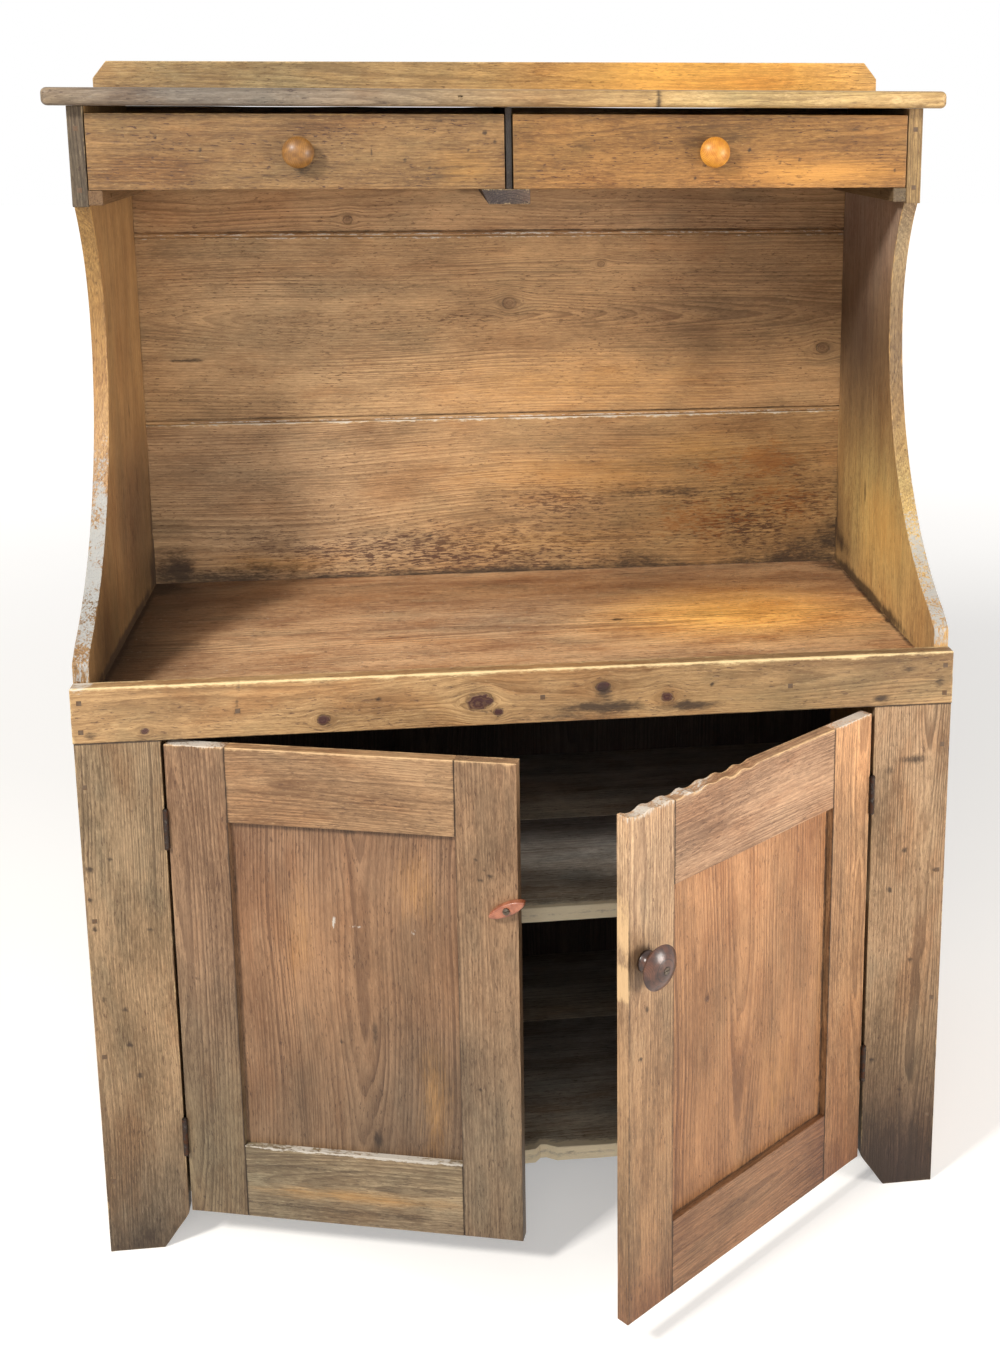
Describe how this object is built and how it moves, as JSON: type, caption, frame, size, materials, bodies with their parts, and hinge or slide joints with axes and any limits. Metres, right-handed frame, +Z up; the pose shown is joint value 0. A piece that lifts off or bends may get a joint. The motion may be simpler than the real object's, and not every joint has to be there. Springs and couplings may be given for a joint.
{
  "type": "dry sink cabinet",
  "caption": "Pine dry sink: a shallow well over a cupboard with framed doors, curved sides, an open alcove, small drawers and a gallery top.",
  "frame": {"origin": "on the floor, under the middle of the whole cabinet as it stands with its doors partly open", "axes": "+X to the right and +Y to the back for someone who faces the doors, +Z up"},
  "size_m": [1.235, 0.9266, 1.633],
  "materials": {
    "side_pine": "aged golden pine, worn pale along the curved edge",
    "frame_pine": "aged brown pine, dented",
    "rim_pine": "aged golden pine, worn top edge",
    "well_pine": "reddish brown pine, worn",
    "back_pine": "aged golden pine",
    "plank_pine": "dark unfinished pine",
    "shelf_pine": "grey weathered pine",
    "top_pine": "aged pine, rounded worn edge",
    "strip_pine": "grey brown pine",
    "runner_pine": "dark pine",
    "drawer_front_pine": "reddish pine with worm holes",
    "drawer_inner_pine": "unfinished pine",
    "pale_knob_wood": "polished golden maple",
    "dark_knob_wood": "dark polished hardwood",
    "button_wood": "reddish hardwood",
    "screw_steel": "dull steel",
    "hinge_iron": "dark rusted iron",
    "nail_iron": "dark iron",
    "door_frame_pine": "aged brown pine",
    "door_panel_pine": "reddish brown pine"
  },
  "bodies": {
    "case": {"side_left": "side_pine", "side_right": "side_pine", "stile_left": "frame_pine", "stile_right": "frame_pine", "rim_rail": "rim_pine", "well_floor": "well_pine", "middle_shelf_front": "shelf_pine", "middle_shelf_back": "shelf_pine", "bottom_shelf_front": "shelf_pine", "bottom_shelf_back": "shelf_pine", "back_board_lower": "back_pine", "back_board_middle": "back_pine", "back_board_upper": "back_pine", "top_board": "top_pine", "gallery_board": "top_pine", "drawer_strip_left": "strip_pine", "drawer_strip_right": "strip_pine", "drawer_divider": "runner_pine", "centre_runner": "runner_pine", "side_runner_left": "runner_pine", "side_runner_right": "runner_pine", "lower_back_plank_1": "plank_pine", "lower_back_plank_2": "plank_pine", "lower_back_plank_3": "plank_pine", "lower_back_plank_4": "plank_pine", "case_nails": "nail_iron", "case_hinge_leaves": "hinge_iron", "case_hinge_screws": "screw_steel", "hinge_pins": "hinge_iron"},
    "drawer_left": {"left_drawer_front": "drawer_front_pine", "left_drawer_left_side": "drawer_inner_pine", "left_drawer_right_side": "drawer_inner_pine", "left_drawer_back": "drawer_inner_pine", "left_drawer_bottom": "drawer_inner_pine", "left_drawer_knob": "pale_knob_wood"},
    "drawer_right": {"right_drawer_front": "drawer_front_pine", "right_drawer_left_side": "drawer_inner_pine", "right_drawer_right_side": "drawer_inner_pine", "right_drawer_back": "drawer_inner_pine", "right_drawer_bottom": "drawer_inner_pine", "right_drawer_knob": "pale_knob_wood"},
    "door_left": {"left_door_hinge_stile": "door_frame_pine", "left_door_lock_stile": "door_frame_pine", "left_door_panel": "door_panel_pine", "left_door_top_rail": "door_frame_pine", "left_door_bottom_rail": "door_frame_pine", "left_door_hinge_leaves": "hinge_iron", "left_door_hinge_screws": "screw_steel", "turn_button_screw": "screw_steel"},
    "turn_button": {"turn_button": "button_wood"},
    "door_right": {"right_door_hinge_stile": "door_frame_pine", "right_door_lock_stile": "door_frame_pine", "right_door_panel": "door_panel_pine", "right_door_top_rail": "door_frame_pine", "right_door_bottom_rail": "door_frame_pine", "right_door_hinge_leaves": "hinge_iron", "right_door_hinge_screws": "screw_steel", "right_door_knob": "dark_knob_wood", "right_door_knob_screw": "screw_steel"}
  },
  "joints": [
    {"name": "left_door_hinge", "type": "hinge", "parent": "case", "child": "door_left", "pos_m": [-0.4795, -0.14632, 0.4], "axis": [0, 0, -1], "range_deg": [-15.7, 149.3]},
    {"name": "right_door_hinge", "type": "hinge", "parent": "case", "child": "door_right", "pos_m": [0.4795, -0.14632, 0.4], "axis": [0, 0, 1], "range_deg": [-38.3, 126.7]},
    {"name": "turn_button_pivot", "type": "hinge", "parent": "door_left", "child": "turn_button", "pos_m": [-0.03665, -0.26705, 0.547], "axis": [-0.2706, -0.9627, 0], "continuous": true},
    {"name": "left_drawer_slide", "type": "slide", "parent": "case", "child": "drawer_left", "axis": [0, -1, 0], "range_m": [0, 0.28]},
    {"name": "right_drawer_slide", "type": "slide", "parent": "case", "child": "drawer_right", "axis": [0, -1, 0], "range_m": [0, 0.28]}
  ]
}
